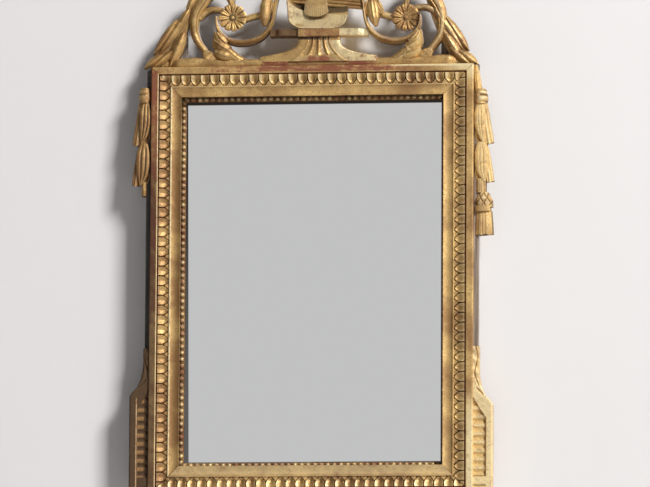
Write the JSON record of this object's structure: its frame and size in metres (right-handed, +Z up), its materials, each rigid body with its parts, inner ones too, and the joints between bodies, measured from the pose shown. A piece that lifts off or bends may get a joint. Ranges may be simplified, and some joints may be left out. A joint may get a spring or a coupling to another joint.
{
  "type": "wall mirror",
  "caption": "Upright wall mirror in a carved giltwood frame with a pierced scrolling crest, hanging leaf drops and small console brackets at the sides.",
  "frame": {"origin": "middle of the lower edge of the carcass's back face, where the frame bears on the wall", "axes": "+X to the right seen from the front, +Y backwards into the wall, +Z up"},
  "size_m": [0.542, 0.0534, 0.853],
  "materials": {
    "gilt": "worn water gilding over red bole on carved limewood",
    "carcass_wood": "aged dark softwood",
    "plain_wood": "bare softwood",
    "iron": "forged and browned",
    "mirror": "silvered plate glass"
  },
  "bodies": {
    "mirror": {"acanthus_left": "gilt", "acanthus_right": "gilt", "backboard_lower": "plain_wood", "backboard_middle": "plain_wood", "backboard_nails": "iron", "backboard_upper": "plain_wood", "batten_screws": "iron", "bead_slip_bottom": "gilt", "bead_slip_left": "gilt", "bead_slip_right": "gilt", "bead_slip_top": "gilt", "bud_left": "gilt", "bud_right": "gilt", "carcass_bottom_rail": "carcass_wood", "carcass_left_stile": "carcass_wood", "carcass_pegs": "plain_wood", "carcass_right_stile": "carcass_wood", "carcass_top_rail": "carcass_wood", "console_left": "gilt", "console_right": "gilt", "crest_batten_left": "carcass_wood", "crest_batten_right": "carcass_wood", "crest_dowels": "plain_wood", "crest_rail": "gilt", "crest_scroll_left": "gilt", "crest_scroll_right": "gilt", "drop_tassel_right": "gilt", "garland_left": "gilt", "garland_right": "gilt", "hanging_eye": "iron", "hat_brim": "gilt", "hat_crown": "gilt", "mirror_plate": "mirror", "moulding_bottom": "gilt", "moulding_left": "gilt", "moulding_right": "gilt", "moulding_top": "gilt", "ornament_pins": "iron", "plate_wedges": "plain_wood", "ribbon_bow": "gilt", "rosette_left": "gilt", "rosette_right": "gilt", "side_drop_left": "gilt", "side_drop_right": "gilt", "trophy_pedestal": "gilt", "trophy_rods": "gilt", "trophy_shelf": "gilt"},
    "ring": {"hanging_ring": "iron"}
  },
  "joints": [
    {"name": "ring_swing", "type": "hinge", "parent": "mirror", "child": "ring", "pos_m": [0, 0.008, 0.629], "axis": [1, 0, 0], "range_deg": [0, 180]}
  ]
}
